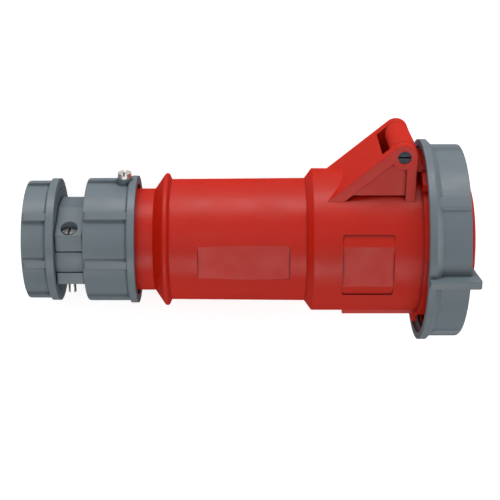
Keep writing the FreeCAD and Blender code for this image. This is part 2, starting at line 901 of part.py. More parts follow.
def make_handle_sleeve():
    body = new_body("handle_sleeve")
    neck_end = NECK - z.neck_inside
    thread_end = neck_end + z.neck_thread_length
    crest = BEAD + z.bead_rise
    bore_start = z.grip_start - z.grip_wall
    bore_end = SPIGOT_RADIUS - z.grip_wall
    revolved(body, "shell", [
        (neck_end, z.neck_bore),
        (neck_end, z.neck_thread),
        (thread_end, z.neck_thread),
        (thread_end, z.neck_radius),
        (BEAD, z.neck_radius),
        (crest, z.bead_radius, z.bead_rounding),
        (crest + z.bead_flat, z.bead_radius, z.bead_rounding),
        (GRIP, z.grip_start),
        (HOUSING, z.grip_end),
        (HOUSING, SPIGOT_RADIUS),
        (SPIGOT, SPIGOT_RADIUS),
        (SPIGOT, bore_end),
        (GRIP, bore_start),
        (BEAD, z.neck_bore),
    ])
    groove = HOUSING + (SPIGOT - HOUSING) * z.seal_groove_place
    root = SPIGOT_RADIUS - z.seal_groove_depth
    beyond = SPIGOT_RADIUS + z.fit_gap
    bored(body, "seal_groove", [
        (groove - z.seal_groove_length, root),
        (groove, root),
        (groove, beyond),
        (groove - z.seal_groove_length, beyond),
    ])
    # The flat field on the side that faces up
    half = z.grip_plate_half
    length = z.grip_plate_length
    start = GRIP + z.plate_start
    floor = z.grip_end - z.grip_plate_depth
    r = z.plate_rounding
    block(body, "field", "XZ_Plane", (0, 0, z.grip_end + z.sliding_gap), [
        (start, -half, r),
        (start + length, -half, r),
        (start + length, half, r),
        (start, half, r),
    ], z.grip_end + z.sliding_gap - floor, cut=True)


def make_housing_seal():
    body = new_body("housing_seal")
    groove = HOUSING + (SPIGOT - HOUSING) * z.seal_groove_place
    middle = groove - z.seal_groove_length / 2
    root = SPIGOT_RADIUS - z.seal_groove_depth + z.fit_gap
    outer = HOUSING_BORE - z.fit_gap
    half = z.seal_groove_length / 2 - z.sliding_gap
    round_off = (outer - root) / 3
    revolved(body, "ring", [
        (middle - half, root, round_off),
        (middle + half, root, round_off),
        (middle + half, outer, round_off),
        (middle - half, outer, round_off),
    ])


# Front housing

def make_bracket(body):
    """The two ears with their struts and webs, and the sloping plate between them."""
    slope = z.bracket_slope
    boss = z.hinge_boss
    outer = z.bracket_half_width
    top_x = PIN - boss * sine(slope)
    top_z = PIN_HEIGHT + boss * cosine(slope)
    low = chord(z.socket_bore, outer)
    run = (top_z - low) / tangent(slope)
    thick = z.bracket_plate / cosine(slope)
    window = PIN - z.bracket_window
    drop = (top_x - window) * tangent(slope)
    # The plate that spans the bracket and stops short of the knuckle
    block(body, "plate", "XZ_Plane", (0, 0, -outer), [
        (top_x - run, low),
        (top_x - run + thick / tangent(slope), low),
        (window, top_z - drop - thick),
        (window, top_z - drop),
    ], outer * 2)
    starts = (("near", EAR_INSIDE), ("far", -outer))
    for side, start in starts:
        block(body, f"ear_{side}", "XZ_Plane", (0, 0, start), [
            (top_x - run, low),
            (PIN + boss, low),
            (PIN + boss, PIN_HEIGHT),
            (top_x, top_z),
        ], z.ear_thickness)
        rounded = new_sketch(body, f"boss_outline_{side}", "XZ_Plane", (0, 0, start))
        disc(rounded, PIN, PIN_HEIGHT, boss)
        padded(body, f"boss_{side}", rounded, z.ear_thickness)
    # A triangular web is sunk between the sloping strut and the post
    strut = z.strut_width / cosine(slope)
    post = PIN + boss - z.post_width
    web_low = chord(HOUSING_RADIUS, outer) + z.web_gap
    line_z = top_z - strut
    web_left = top_x - (line_z - web_low) / tangent(slope)
    web_high = line_z - (top_x - post) * tangent(slope)
    recess = z.web_recess
    for side, start in (("near", outer), ("far", recess - outer)):
        block(body, f"web_{side}", "XZ_Plane", (0, 0, start), [
            (web_left, web_low),
            (post, web_low),
            (post, web_high),
        ], recess, cut=True)
        # Under the web the bracket is open
        far_left = top_x - (line_z - low) / tangent(slope)
        under = outer if side == "near" else z.ear_thickness - outer
        block(body, f"gap_{side}", "XZ_Plane", (0, 0, under), [
            (far_left, low),
            (post, low),
            (post, web_low),
            (web_left, web_low),
        ], z.ear_thickness, cut=True)
        again = outer - recess if side == "near" else -outer
        ring = new_sketch(body, f"boss_ring_outline_{side}", "XZ_Plane", (0, 0, again))
        disc(ring, PIN, PIN_HEIGHT, boss)
        padded(body, f"boss_ring_{side}", ring, recess)


def make_front_housing():
    body = new_body("front_housing")
    make_bracket(body)
    revolved(body, "barrel", [
        (HOUSING, 0),
        (HOUSING, CONE_START),
        (BARREL, HOUSING_RADIUS),
        (COLLAR, HOUSING_RADIUS),
        (COLLAR, COLLAR_RADIUS),
        (RIM, COLLAR_RADIUS),
        (RIM, HOUSING_RADIUS),
        (MOUTH, HOUSING_RADIUS),
        (MOUTH, 0),
    ])
    # The ribbed key opposite the hinge
    half = z.key_half_width
    block(body, "key", "YZ_Plane", (0, 0, BARREL + z.key_start),
          rectangle(-half, -KEY_HEIGHT, half, -z.socket_bore),
          z.housing_length - z.key_start)
    # Lugs that stop the ring's hooks, each with a catch that a hook turns behind
    inner = COLLAR_RADIUS - z.fit_gap
    for side, middle, half in (("hinge", z.hinge_lug_angle, z.hinge_lug_half),
                               ("base", z.base_lug_angle, z.base_lug_half)):
        lug = new_sketch(body, f"lug_outline_{side}", "YZ_Plane",
                         (0, 0, COLLAR - z.lug_setback))
        sector(lug, inner, LUG_RADIUS, middle, half)
        padded(body, f"lug_{side}", lug, z.lug_length)
    catch = new_sketch(body, "catch_outline", "YZ_Plane", (0, 0, RIM - z.catch_setback))
    sector(catch, inner, LUG_RADIUS, z.catch_angle, z.catch_half_angle)
    first = padded(body, "catch", catch, z.catch_length)
    spread(body, "catches", first, z.hook_count)
    # The bore for the handle, the ledge for the contacts and the socket
    before = HOUSING - z.sliding_gap
    after = MOUTH + z.sliding_gap
    bored(body, "bore", [
        (before, 0),
        (before, HOUSING_BORE),
        (LEDGE, HOUSING_BORE),
        (LEDGE, LEDGE_BORE),
        (SEAT, LEDGE_BORE),
        (SEAT, z.socket_bore),
        (after, z.socket_bore),
        (after, 0),
    ])
    way = z.keyway_half_width
    key_end = MOUTH + z.sliding_gap
    block(body, "keyway", "YZ_Plane", (0, 0, key_end),
          rectangle(-way, -KEYWAY_RADIUS, way, -LEDGE_BORE),
          key_end - SEAT - z.insert_base_length, cut=True)
    # The faceted field on the side that faces up
    edge = chord(HOUSING_RADIUS, z.housing_plate_half)
    flat = HOUSING_RADIUS - z.housing_plate_depth
    tall = z.housing_plate_half
    deep = z.housing_plate_edge
    start = BARREL + z.housing_plate_start
    end = start + z.housing_plate_length
    clear = HOUSING_RADIUS + z.sliding_gap
    field = block(body, "field", "YZ_Plane", (0, 0, end), [
        (-clear, -tall),
        (deep - edge, -tall),
        (-flat, -z.housing_plate_flat),
        (-flat, z.housing_plate_flat),
        (deep - edge, tall),
        (-clear, tall),
    ], z.housing_plate_length, cut=True)
    corners = []
    for index, side in enumerate(field.Shape.Edges, start=1):
        box = side.BoundBox
        level = max(abs(abs(box.ZMin) - tall.number), abs(abs(box.ZMax) - tall.number))
        beside = min(abs(box.XMin - start.number), abs(box.XMin - end.number))
        if box.XLength + box.ZLength + level + beside < z.running_gap.number:
            corners.append(f"Edge{index}")
    rounded = body.newObject("PartDesign::Fillet", "front_housing_field_corners")
    rounded.Base = (field, corners)
    rounded.setExpression("Radius", z.housing_plate_rounding.text)
    doc.recompute()
    # Pin bore with the head's counterbore on the near ear
    for side, start, radius, length in (
            ("pin", z.bracket_half_width, z.pin_radius + z.fit_gap / 2,
             z.bracket_half_width * 2),
            ("head", z.bracket_half_width, z.pin_head + z.fit_gap,
             z.pin_inset + z.pin_head_length)):
        hole = new_sketch(body, f"{side}_outline", "XZ_Plane", (0, 0, start))
        disc(hole, PIN, PIN_HEIGHT, radius)
        pocketed(body, f"{side}_hole", hole, length)
    for index in range(SIZES["carrier_screw_count"]):
        angle = sized(360 * index) / z.carrier_screw_count
        hole = new_sketch(body, f"screw_outline_{index}", "YZ_Plane",
                          (0, 0, SEAT + z.fit_gap))
        disc(hole, -sine(angle) * CARRIER_SCREW_CIRCLE,
             cosine(angle) * CARRIER_SCREW_CIRCLE, z.carrier_screw_radius + z.fit_gap)
        pocketed(body, f"screw_hole_{index}", hole, z.ledge_length + z.fit_gap * 2)


def make_hinge_pin():
    start = z.bracket_half_width - z.pin_inset
    stem = primitive("Part::Cylinder", "hinge_pin_stem",
                     {"Radius": z.pin_radius, "Height": start * 2},
                     (PIN, start, PIN_HEIGHT), 90)
    head = primitive("Part::Cylinder", "hinge_pin_head",
                     {"Radius": z.pin_head, "Height": z.pin_head_length},
                     (PIN, z.pin_head_length - start, PIN_HEIGHT), 90)
    whole = doc.addObject("Part::Fuse", "hinge_pin_whole")
    whole.Base = stem
    whole.Tool = head
    width = z.screw_slot_width
    reach = z.pin_head + z.sliding_gap
    slot = primitive("Part::Box", "hinge_pin_slot",
                     {"Length": reach * 2, "Width": z.screw_slot_depth,
                      "Height": width},
                     (PIN - reach, -start, PIN_HEIGHT - width / 2))
    pin = doc.addObject("Part::Cut", "hinge_pin")
    pin.Base = whole
    pin.Tool = slot
    pin.Label = "hinge_pin"
    place(pin)


# Lid

def make_lid():
    body = new_body("lid")
    skirt = PLATE - z.lid_skirt_length
    inner = LID_RADIUS - z.lid_skirt
    boss_end = PLATE_END + z.lid_boss_height
    hollow = z.lid_boss_radius - z.lid_boss_wall
    floor = PLATE + z.gasket_groove
    revolved(body, "disc", [
        (skirt, inner),
        (skirt, LID_RADIUS),
        (PLATE_END, LID_RADIUS),
        (PLATE_END, z.lid_boss_radius),
        (boss_end, z.lid_boss_radius, z.lid_boss_rounding),
        (boss_end, 0),
        (boss_end - z.lid_boss_wall, 0),
        (boss_end - z.lid_boss_wall, hollow),
        (PLATE, hollow),
        (PLATE, GASKET_INNER - z.fit_gap),
        (floor, GASKET_INNER - z.fit_gap),
        (floor, GASKET_OUTER + z.fit_gap),
        (PLATE, GASKET_OUTER + z.fit_gap),
        (PLATE, inner),
    ])
    # The arm runs back from the disc, over the collar, to the hinge knuckle
    boss = z.hinge_boss
    slope = z.arm_slope
    top_x = PIN + boss * cosine(slope)
    top_z = PIN_HEIGHT + boss * sine(slope)
    bend = top_x + (top_z - ARM_TOP) * tangent(slope)
    block(body, "arm", "XZ_Plane", (0, 0, -z.arm_half_width), [
        (PIN, PIN_HEIGHT),
        (PIN - z.arm_heel, PIN_HEIGHT - z.arm_drop),
        (PIN + z.arm_reach, ARM_BOTTOM),
        (PLATE + z.lid_plate / 2, ARM_BOTTOM),
        (PLATE + z.lid_plate / 2, ARM_TOP),
        (bend, ARM_TOP),
        (top_x, top_z),
    ], z.arm_half_width * 2)
    width = EAR_INSIDE - z.knuckle_side_gap
    knuckle = new_sketch(body, "knuckle_outline", "XZ_Plane", (0, 0, -width))
    disc(knuckle, PIN, PIN_HEIGHT, boss)
    padded(body, "knuckle", knuckle, width * 2)
    # Under the knuckle a slot takes the spring
    slot = z.spring_slot_half
    reach = z.spring_slot_radius
    ring = new_sketch(body, "spring_ring_outline", "XZ_Plane", (0, 0, slot))
    disc(ring, PIN, PIN_HEIGHT, reach)
    pocketed(body, "spring_ring", ring, slot * 2)
    block(body, "spring_slot", "XZ_Plane", (0, 0, slot), [
        (PIN + reach, PIN_HEIGHT),
        (PIN - boss - z.sliding_gap, PIN_HEIGHT),
        (PIN - boss - z.sliding_gap, ARM_BOTTOM - z.sliding_gap),
        (PIN + reach, ARM_BOTTOM - z.sliding_gap),
    ], slot * 2, cut=True)
    bore = new_sketch(body, "bore_outline", "XZ_Plane", (0, 0, width + z.sliding_gap))
    disc(bore, PIN, PIN_HEIGHT, z.pin_radius + z.running_gap)
    pocketed(body, "bore", bore, (width + z.sliding_gap) * 2)


def make_lid_gasket():
    body = new_body("lid_gasket")
    start = MOUTH + z.sliding_gap
    end = PLATE + z.gasket_groove - z.fit_gap
    revolved(body, "ring", [
        (start, GASKET_INNER),
        (start, GASKET_OUTER),
        (end, GASKET_OUTER),
        (end, GASKET_INNER),
    ])


def make_lid_spring():
    """One bent wire: a leg up from the barrel, the coil about the pin and a short hook.

    The leg stands where the knuckle's slot stays open over the whole swing of the lid.
    """
    coil = z.spring_coil.number
    pitch = z.spring_pitch.number
    height = pitch * z.spring_turns.number
    hook = z.spring_hook.number
    leg = (PIN_HEIGHT - HOUSING_RADIUS - z.sliding_gap).number
    centre = FreeCAD.Vector(PIN.number, 0, PIN_HEIGHT.number)
    turns = Part.makeHelix(pitch, height, coil)
    turns.rotate(FreeCAD.Vector(0, 0, 0), FreeCAD.Vector(1, 0, 0), 90)
    turns.translate(centre + FreeCAD.Vector(0, height / 2, 0))
    curve = turns.Edges[0]
    start = curve.valueAt(curve.FirstParameter)
    end = curve.valueAt(curve.LastParameter)
    rising = curve.tangentAt(curve.FirstParameter)
    falling = curve.tangentAt(curve.LastParameter)
    first = Part.makeLine(start - rising * leg, start)
    last = Part.makeLine(end, end + falling * hook)
    path = Part.Wire([first, curve, last])
    circle = Part.makeCircle(z.spring_wire.number, start - rising * leg, rising)
    spring = doc.addObject("Part::Feature", "lid_spring")
    spring.Shape = path.makePipeShell([Part.Wire(circle)], True, True, 0)
    spring.Label = "lid_spring"
    place(spring)


# Locking ring

def make_wing(body, name, sign):
    """A grip wing at one side of the ring, with its front edge ahead of the ring."""
    back = RING + z.fit_gap
    root = (RING_BORE + z.fit_gap) * sign
    tip = WING_RADIUS * sign
    low = (RING_LIP - z.panel_depth) * sign
    nose = RING_END + z.wing_overhang
    bend = RING_END - z.ring_rounding / 2
    corners = [
        (back, root),
        (back, tip),
        (nose, tip - z.wing_fall * sign, z.wing_rounding),
        (RING_END + z.wing_front_overhang, low),
        (RING_END - z.fit_gap, low),
        (bend, root),
    ]
    level = (z.wing_offset * sign) - z.wing_thickness / 2
    block(body, f"wing_{name}", "XY_Plane", (0, 0, level), corners, z.wing_thickness)


def make_locking_ring():
    body = new_body("locking_ring")
    flange_end = RING + z.ring_flange_length
    lip = PLATE_END + z.sliding_gap
    mouth = RING + z.ring_mouth_length
    revolved(body, "hoop", [
        (RING, RING_MOUTH_BORE),
        (RING, RING_FLANGE),
        (flange_end, RING_FLANGE),
        (flange_end + z.ring_flange_rise, RING_PANEL),
        (RING_END, RING_PANEL),
        (RING_END, RING_LIP),
        (lip, RING_LIP),
        (lip, RING_BORE),
        (mouth + z.ring_mouth_step, RING_BORE),
        (mouth, RING_MOUTH_BORE),
    ])
    length = RING_END - flange_end
    angles = (("hinge", z.ring_rib_hinge), ("side", z.ring_rib_side),
              ("base", z.ring_rib_base))
    for name, angle in angles:
        for half, turn in (("near", 0), ("far", 180)):
            rib(body, f"rib_{name}_{half}", flange_end, length, RING_MOUTH_BORE,
                RING_RADIUS, z.ring_rib_width, z.ring_rib_slope, angle + turn)
    round_off = z.ring_rounding
    beyond = RING_FLANGE + z.sliding_gap
    after = RING_END + z.sliding_gap
    reach = RING_END - round_off - z.fit_gap
    low = RING_RADIUS - round_off - z.fit_gap
    bored(body, "rounding", [
        (reach, RING_RADIUS),
        (RING_END, RING_RADIUS, round_off),
        (RING_END, low),
        (after, low),
        (after, beyond),
        (reach, beyond),
    ])
    make_wing(body, "near", -1)
    make_wing(body, "far", 1)
    hook = new_sketch(body, "hook_outline", "YZ_Plane", (0, 0, RING + z.hook_setback))
    sector(hook, COLLAR_RADIUS + z.hook_gap, RING_MOUTH_BORE + z.panel_depth, 90,
           z.hook_half_angle)
    first = padded(body, "hook", hook, z.hook_length)
    spread(body, "hooks", first, z.hook_count)


# Contacts

POLES = (
    ("contact_n", 36, z.pole_radius),
    ("contact_l1", 108, z.pole_radius),
    ("contact_earth", 180, z.earth_radius),
    ("contact_l2", 252, z.pole_radius),
    ("contact_l3", 324, z.pole_radius),
)
SLEEVE_END = FACE - z.sleeve_cover
COLLAR_BACK = SEAT + z.shoulder_place
SLEEVE = COLLAR_BACK + z.shoulder_length
TERMINAL = COLLAR_BACK - z.terminal_length
TERMINAL_SCREW = COLLAR_BACK - z.terminal_screw_place


def make_contact(name, turn, pin_radius):
    """A tubular contact with a screw terminal, drawn on top and turned into place."""
    body = new_body(name)
    place(body, turn)
    bore = pin_radius + z.running_gap
    outer = pin_radius + z.sleeve_wall
    wire_end = TERMINAL + z.wire_depth
    up = (0, z.pin_circle, 0)
    revolved(body, "turned", [
        (SLEEVE_END, bore),
        (SLEEVE_END, outer),
        (SLEEVE, outer),
        (SLEEVE, z.shoulder_radius),
        (COLLAR_BACK, z.shoulder_radius),
        (COLLAR_BACK, z.terminal_radius),
        (TERMINAL, z.terminal_radius),
        (TERMINAL, z.wire_bore),
        (wire_end, z.wire_bore),
        (wire_end, 0),
        (SLEEVE, 0),
        (SLEEVE, bore),
    ], shift=up)
    top = z.pin_circle + z.terminal_radius + z.sliding_gap
    hole = new_sketch(body, "tapped_outline", "XY_Plane", (0, 0, top))
    disc(hole, TERMINAL_SCREW, 0, z.terminal_screw_radius + z.fit_gap)
    pocketed(body, "tapped", hole, z.terminal_radius + z.sliding_gap)


def make_contact_pilot():
    body = new_body("contact_pilot")
    bore = z.pilot_radius + z.running_gap
    outer = z.pilot_radius + z.sleeve_wall
    revolved(body, "turned", [
        (SLEEVE_END, bore),
        (SLEEVE_END, outer),
        (TERMINAL, outer),
        (TERMINAL, 0),
        (SLEEVE, 0),
        (SLEEVE, bore),
    ])


def make_terminal_screws():
    screws = []
    for name, turn, radius in POLES:
        seat = z.pin_circle + z.terminal_screw_tip + z.terminal_screw_length
        stem = primitive("Part::Cylinder", f"{name}_screw_stem",
                         {"Radius": z.terminal_screw_radius,
                          "Height": z.terminal_screw_length},
                         (TERMINAL_SCREW, 0, z.pin_circle + z.terminal_screw_tip))
        width = z.screw_slot_width
        slot = primitive("Part::Box", f"{name}_screw_slot",
                         {"Length": width, "Width": z.terminal_radius,
                          "Height": z.screw_slot_depth},
                         (TERMINAL_SCREW - width / 2, -z.terminal_radius / 2,
                          seat - z.screw_slot_depth))
        screw = doc.addObject("Part::Cut", f"{name}_screw")
        screw.Base = stem
        screw.Tool = slot
        along = FreeCAD.Vector(1, 0, 0)
        origin = FreeCAD.Vector(0, 0, 0)
        screw.Placement = FreeCAD.Placement(origin, FreeCAD.Rotation(along, turn))
        screws.append(screw)
    group("terminal_screws", screws)


def across_from(turn, radius):
    """A point at an angle from the hinge, as the moved plane of a turned sketch."""
    return (0, cosine(turn) * radius, sine(turn) * radius)


def make_contact_carrier():
    body = new_body("contact_carrier")
    base = z.socket_bore - z.insert_base_gap
    revolved(body, "insert", [
        (SEAT, 0),
        (SEAT, base),
        (SEAT + z.insert_base_length, base),
        (SEAT + z.insert_base_length, INSERT_RADIUS),
        (FACE, INSERT_RADIUS, z.insert_rounding),
        (FACE, 0),
    ])
    before = SEAT - z.sliding_gap
    after = FACE + z.sliding_gap
    for name, turn, pin_radius in POLES:
        outer = pin_radius + z.sleeve_wall + z.fit_gap
        bored(body, f"{name}_hole", [
            (before, 0),
            (before, z.shoulder_radius + z.fit_gap),
            (SLEEVE + z.fit_gap, z.shoulder_radius + z.fit_gap),
            (SLEEVE + z.fit_gap, outer),
            (SLEEVE_END + z.fit_gap, outer),
            (SLEEVE_END + z.fit_gap, pin_radius + z.pin_entry),
            (after, pin_radius + z.pin_entry),
            (after, 0),
        ], across_from(turn, z.pin_circle))
    outer = z.pilot_radius + z.sleeve_wall + z.fit_gap
    bored(body, "pilot_hole", [
        (before, 0),
        (before, outer),
        (SLEEVE_END + z.fit_gap, outer),
        (SLEEVE_END + z.fit_gap, z.pilot_radius + z.pin_entry),
        (after, z.pilot_radius + z.pin_entry),
        (after, 0),
    ])
    top = SEAT + z.insert_base_length + z.fit_gap
    hole = new_sketch(body, "screw_outline", "YZ_Plane", (0, 0, top))
    disc(hole, 0, CARRIER_SCREW_CIRCLE, z.carrier_screw_radius + z.fit_gap)
    first = pocketed(body, "screw_hole", hole, z.insert_base_length + z.sliding_gap)
    spread(body, "screw_holes", first, z.carrier_screw_count)


def make_carrier_back():
    """The rear insulator that keeps the contacts in the insert."""
    body = new_body("carrier_back")
    end = SEAT - z.fit_gap
    start = end - z.backing_length
    revolved(body, "disc", [
        (start, 0),
        (start, BACKING_RADIUS),
        (end, BACKING_RADIUS),
        (end, 0),
    ])
    before = start - z.sliding_gap
    after = end + z.sliding_gap
    for name, turn, pin_radius in POLES:
        bored(body, f"{name}_hole", [
            (before, 0),
            (before, z.terminal_radius + z.sliding_gap),
            (after, z.terminal_radius + z.sliding_gap),
            (after, 0),
        ], across_from(turn, z.pin_circle))
    bored(body, "pilot_hole", [
        (before, 0),
        (before, z.pilot_radius + z.sleeve_wall + z.fit_gap),
        (after, z.pilot_radius + z.sleeve_wall + z.fit_gap),
        (after, 0),
    ])
    # A slot out from each hole lets a screwdriver reach the terminal screw
    slot_half = z.terminal_screw_radius + z.panel_depth
    slot_end = TERMINAL_SCREW + z.screw_head
    outside = BACKING_RADIUS + z.sliding_gap
    first = block(body, "slot", "YZ_Plane", (0, 0, slot_end),
                  rectangle(-slot_half, -outside, slot_half, -z.pin_circle),
                  slot_end - before, cut=True)
    spread(body, "slots", first, len(POLES))


def make_carrier_screws():
    length = z.insert_base_length + z.ledge_length
    seat = SEAT + z.insert_base_length
    screws = []
    for index in range(SIZES["carrier_screw_count"]):
        name = f"carrier_screw_{index}"
        angle = sized(360 * index) / z.carrier_screw_count
        y = -sine(angle) * CARRIER_SCREW_CIRCLE
        up = cosine(angle) * CARRIER_SCREW_CIRCLE
        along = FreeCAD.Rotation(FreeCAD.Vector(0, 1, 0), 90)
        parts = []
        for part, radius, start, run in (
                ("head", z.carrier_screw_head, seat, z.carrier_screw_head_height),
                ("shank", z.carrier_screw_radius, seat - length, length)):
            solid = primitive("Part::Cylinder", f"{name}_{part}",
                              {"Radius": radius, "Height": run}, (start, y, up))
            solid.Placement = FreeCAD.Placement(solid.Placement.Base, along)
            parts.append(solid)
        screw = doc.addObject("Part::Fuse", name)
        screw.Base = parts[0]
        screw.Tool = parts[1]
        screws.append(screw)
    group("carrier_screws", screws)


# The whole coupler

def make_everything():
    make_end_nut()
    make_end_washer()
    make_end_seal()
    make_clamp_carrier()
    make_upper_clamp()
    make_lower_clamp()
    make_clamp_screws()
    make_clamp_nuts()
    make_gland_nut()
    make_lock_screw()
    make_cable_grommet()
    make_handle_sleeve()
    make_housing_seal()
    make_front_housing()
    make_hinge_pin()
    make_lid()
    make_lid_gasket()
    make_lid_spring()
    make_locking_ring()
    for name, turn, pin_radius in POLES:
        make_contact(name, turn, pin_radius)
    make_contact_pilot()
    make_terminal_screws()
    make_contact_carrier()
    make_carrier_back()
    make_carrier_screws()


NODES = (
    "end_nut", "end_washer", "end_seal", "clamp_carrier", "upper_clamp", "lower_clamp",
    "clamp_screws", "clamp_nuts", "gland_nut", "nut_lock_screw", "cable_grommet",
    "handle_sleeve", "housing_seal", "front_housing", "hinge_pin", "lid", "lid_gasket",
    "lid_spring", "locking_ring", "contact_n", "contact_l1", "contact_earth",
    "contact_l2", "contact_l3", "contact_pilot", "terminal_screws", "contact_carrier",
    "carrier_back", "carrier_screws",
)


def check_model():
    """Stops if a feature failed, a cut removed nothing or a shape is unsound."""
    for item in doc.Objects:
        bad = {"Invalid", "Error"} & set(item.State)
        if bad:
            raise ValueError(f"{item.Name} is {item.State}")
        if item.TypeId in ("PartDesign::Pocket", "PartDesign::Groove"):
            before = item.BaseFeature.Shape.Volume
            if item.Shape.Volume > before - 0.01:
                raise ValueError(f"{item.Name} cuts nothing")
    for name in NODES:
        shape = doc.getObject(name).Shape
        if shape.isNull() or not shape.isValid():
            raise ValueError(f"{name} has no sound shape")


def write_parts():
    os.makedirs("parts", exist_ok=True)
    for name in NODES:
        doc.getObject(name).Shape.exportStep(f"parts/{name}.step")


make_everything()
doc.recompute()
check_model()
write_parts()
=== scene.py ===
import json
import math

import bpy
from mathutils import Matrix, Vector

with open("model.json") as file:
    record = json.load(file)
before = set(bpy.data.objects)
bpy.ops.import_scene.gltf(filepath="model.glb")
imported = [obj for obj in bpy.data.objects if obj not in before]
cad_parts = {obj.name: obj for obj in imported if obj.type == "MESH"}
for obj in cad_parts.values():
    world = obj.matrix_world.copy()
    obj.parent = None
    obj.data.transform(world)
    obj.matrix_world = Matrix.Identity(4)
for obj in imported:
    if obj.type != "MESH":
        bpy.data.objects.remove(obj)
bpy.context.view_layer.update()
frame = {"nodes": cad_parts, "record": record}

scene = bpy.context.scene
scene.view_settings.view_transform = "Standard"

# Camera: straight down on the coupler, as in the photograph. Places are in metres, and the
# lens and the sensor are in millimetres.

CAMERA_X = 0.14035
CAMERA_HEIGHT = 0.813
SENSOR_WIDTH = 36.0
LENS = 91.46
SHIFT_Y = -0.022

camera_data = bpy.data.cameras.new("camera")
camera_data.sensor_width = SENSOR_WIDTH
camera_data.lens = LENS
camera_data.shift_y = SHIFT_Y
camera = bpy.data.objects.new("camera", camera_data)
camera.location = (CAMERA_X, 0.0, CAMERA_HEIGHT)
scene.collection.objects.link(camera)
scene.camera = camera

# Nodes: what the materials, the floor and the world are put together from

WHITE = (1.0, 1.0, 1.0, 1.0)
NOISE_SPAN = (0.35, 0.65)  # where most values of a noise lie
EDGE_SPAN = (0.86, 0.995)  # how alike rounded and flat normals are, on an edge and on a face
OPEN_SPAN = (0.35, 0.85)  # how open a point is, in a crevice and on a free face, for the painted crevice shade
MIRRORED = 0.3  # how much of the pale backdrop shows in gloss and metal

# The Mix node's sockets, which share their names
MIX_FACTOR, MIX_NUMBER_A, MIX_NUMBER_B, MIX_COLOUR_A, MIX_COLOUR_B = 0, 2, 3, 6, 7
MIXED_NUMBER, MIXED_COLOUR = 0, 2


class Nodes:
    """Adds nodes to the tree of one material or world."""

    def __init__(self, owner):
        owner.use_nodes = True
        self.tree = owner.node_tree
        self.tree.nodes.clear()

    def add(self, kind, inputs=None, **settings):
        """Adds a node. Each of its inputs gets a plain value or another node's output."""
        node = self.tree.nodes.new(kind)
        for name, value in settings.items():
            setattr(node, name, value)
        for socket, value in (inputs or {}).items():
            if isinstance(value, bpy.types.NodeSocket):
                self.tree.links.new(value, node.inputs[socket])
            else:
                node.inputs[socket].default_value = value
        return node

    def maths(self, operation, first, second):
        node = self.add("ShaderNodeMath", {0: first, 1: second}, operation=operation)
        return node.outputs["Value"]

    def between(self, value, low, high, span=NOISE_SPAN):
        """The value, mapped from its span to low and high."""
        node = self.add("ShaderNodeMapRange", {
            "Value": value, "From Min": span[0], "From Max": span[1], "To Min": low,
            "To Max": high})
        return node.outputs["Result"]

    def mixed(self, factor, first, second):
        """Two colours mixed: the first where the factor is 0, the second where it is 1."""
        node = self.add("ShaderNodeMix", {
            MIX_FACTOR: factor, MIX_COLOUR_A: first, MIX_COLOUR_B: second}, data_type="RGBA")
        return node.outputs[MIXED_COLOUR]

    def times(self, colour, factor):
        node = self.add("ShaderNodeVectorMath", {0: colour, "Scale": factor}, operation="SCALE")
        return node.outputs["Vector"]

    def place(self):
        """Where a point lies in its object, in metres."""
        return self.add("ShaderNodeTexCoord").outputs["Object"]

    def noise(self, scale, detail, stretch=None):
        """A noise with values from 0 to 1, where scale is its grains a metre."""
        where = self.place()
        if stretch:
            mapping = self.add("ShaderNodeMapping", {"Vector": where, "Scale": stretch})
            where = mapping.outputs["Vector"]
        node = self.add("ShaderNodeTexNoise", {"Vector": where, "Scale": scale, "Detail": detail})
        return node.outputs["Fac"]

    def patches(self, scale, detail, low=0.0, high=1.0, span=NOISE_SPAN):
        """Values from low to high in soft patches."""
        return self.between(self.noise(scale, detail), low, high, span)

    def rounded(self, radius):
        """The surface's normal, with its edges rounded."""
        return self.add("ShaderNodeBevel", {"Radius": radius}, samples=6).outputs["Normal"]

    def bump(self, height, strength, distance, normal):
        node = self.add("ShaderNodeBump", {
            "Height": height, "Strength": strength, "Distance": distance, "Normal": normal})
        return node.outputs["Normal"]

    def edges(self, radius):
        """1 along sharp edges, 0 on the faces."""
        flat = self.add("ShaderNodeNewGeometry").outputs["Normal"]
        lean = self.add("ShaderNodeVectorMath", {0: self.rounded(radius), 1: flat},
                        operation="DOT_PRODUCT")
        return self.between(lean.outputs["Value"], 1.0, 0.0, EDGE_SPAN)

    def painted_crevice_shade(self, distance, low):
        """Painted shade: a factor on the colour that falls from 1 to low where other faces stand
        close by.
        """
        node = self.add("ShaderNodeAmbientOcclusion", {"Distance": distance}, samples=8)
        return self.between(node.outputs["AO"], low, 1.0, OPEN_SPAN)

    def backdrop_share(self):
        """1 to the camera, straight or through glass, MIRRORED in gloss and metal, and else 0."""
        path = self.add("ShaderNodeLightPath").outputs
        seen = self.maths("MAXIMUM", path["Is Camera Ray"], path["Is Transmission Ray"])
        mirrored = self.maths("MULTIPLY", path["Is Glossy Ray"], MIRRORED)
        return self.maths("MAXIMUM", seen, mirrored)

    def surface(self, shader):
        self.add("ShaderNodeOutputMaterial", {"Surface": shader})


# Materials: their bevels, bumps and painted crevice shade are in metres

PLASTIC_EDGE = 0.0007
METAL_EDGE = 0.00025
RUBBER_EDGE = 0.0004


def linear(red, green, blue):
    """A colour given from 0 to 255, as the shader takes it."""
    out = []
    for value in (red, green, blue):
        value = value / 255
        out.append(value / 12.92 if value <= 0.04045 else ((value + 0.055) / 1.055) ** 2.4)
    return tuple(out) + (1.0,)


def scaled(colour, factor):
    return tuple(min(1.0, part * factor) for part in colour[:3]) + (1.0,)


